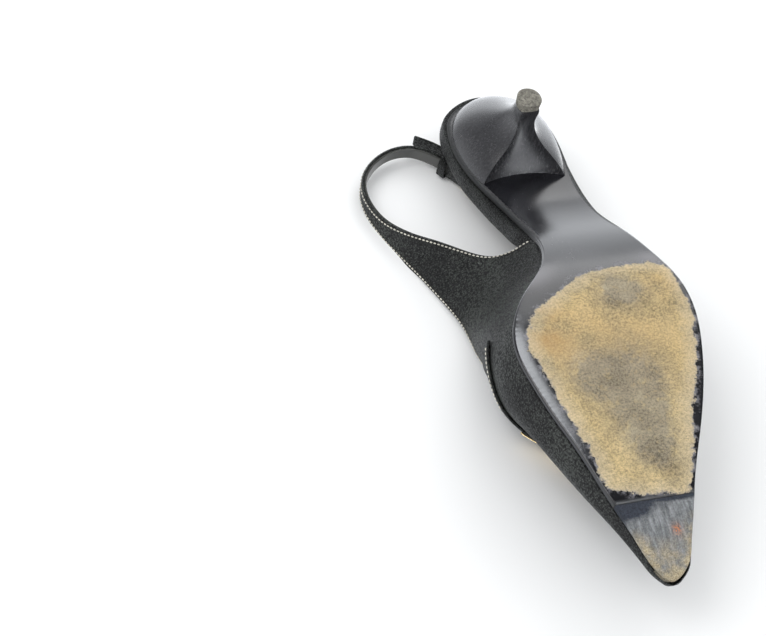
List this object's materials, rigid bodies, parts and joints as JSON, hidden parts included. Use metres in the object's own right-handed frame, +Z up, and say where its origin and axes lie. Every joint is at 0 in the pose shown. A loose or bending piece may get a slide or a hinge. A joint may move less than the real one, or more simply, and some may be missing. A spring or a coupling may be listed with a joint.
{
  "type": "high heel pump",
  "caption": "Pointed-toe slingback pump in black pebbled leather with a slim curved heel, a wrapped seat rim, a buckled heel strap and a leather sole worn to bare nap at the ball.",
  "frame": {"origin": "middle of the heel's ground face", "axes": "+Z up, -Y towards the toe, +X towards the inner side of the foot"},
  "size_m": [0.0986, 0.2568, 0.0593],
  "materials": {
    "upper_leather": "pebbled grain, semi-matt",
    "lining_leather": "smooth, matt",
    "lacquered_leather": "black lacquer, glossy, worn to tan nap at the ball",
    "heel_leather": "smooth, glossy",
    "tap_rubber": "scuffed, matt",
    "top_piece_rubber": "worn, rough",
    "gold_metal": "gold-tone plating, polished",
    "insole_fibreboard": "plain",
    "cork": "granular",
    "latex_foam": "matt",
    "toe_box_board": "stiffened felt",
    "heel_plastic": "moulded",
    "steel": "plain"
  },
  "bodies": {
    "shoe": {"outsole": "lacquered_leather", "toe_tap": "tap_rubber", "bottom_filler": "cork", "shank": "steel", "shank_rivets": "steel", "sock_pad": "latex_foam", "insole_board": "insole_fibreboard", "sock_lining": "lining_leather", "seat_band": "upper_leather", "toe_puff": "toe_box_board", "vamp": "upper_leather", "vamp_lining": "lining_leather", "medial_quarter": "upper_leather", "medial_quarter_lining": "lining_leather", "lateral_quarter": "upper_leather", "lateral_quarter_lining": "lining_leather", "vamp_band": "upper_leather", "throat_bar": "gold_metal", "heel_cover": "heel_leather", "heel_breast_cover": "heel_leather", "heel_tube": "steel", "top_piece_pin": "steel", "heel_block": "heel_plastic", "heel_top_piece": "top_piece_rubber", "heel_screw": "steel", "heel_nails": "steel"},
    "sling": {"sling_strap": "upper_leather", "sling_strap_lining": "lining_leather", "billet_strap": "upper_leather"},
    "buckle": {"buckle_frame": "gold_metal"},
    "prong": {"buckle_prong": "gold_metal"},
    "keeper": {"keeper_loop": "upper_leather"}
  },
  "joints": [
    {"name": "sling_swing", "type": "hinge", "parent": "shoe", "child": "sling", "pos_m": [0.0564, -0.025, 0.0526], "axis": [0.9857, 0.1597, 0.0532], "range_deg": [0, 35]},
    {"name": "buckle_tilt", "type": "hinge", "parent": "sling", "child": "buckle", "pos_m": [0.015, 0.004, 0.054], "axis": [0.026, 0.0427, -0.9987], "range_deg": [-2, 3]},
    {"name": "prong_lift", "type": "hinge", "parent": "buckle", "child": "prong", "pos_m": [0.015, 0.004, 0.054], "axis": [0.026, 0.0427, -0.9987], "range_deg": [0, 15]},
    {"name": "keeper_slide", "type": "slide", "parent": "sling", "child": "keeper", "axis": [-0.5194, -0.8531, -0.0499], "range_m": [-0.002, 0.0015]}
  ]
}
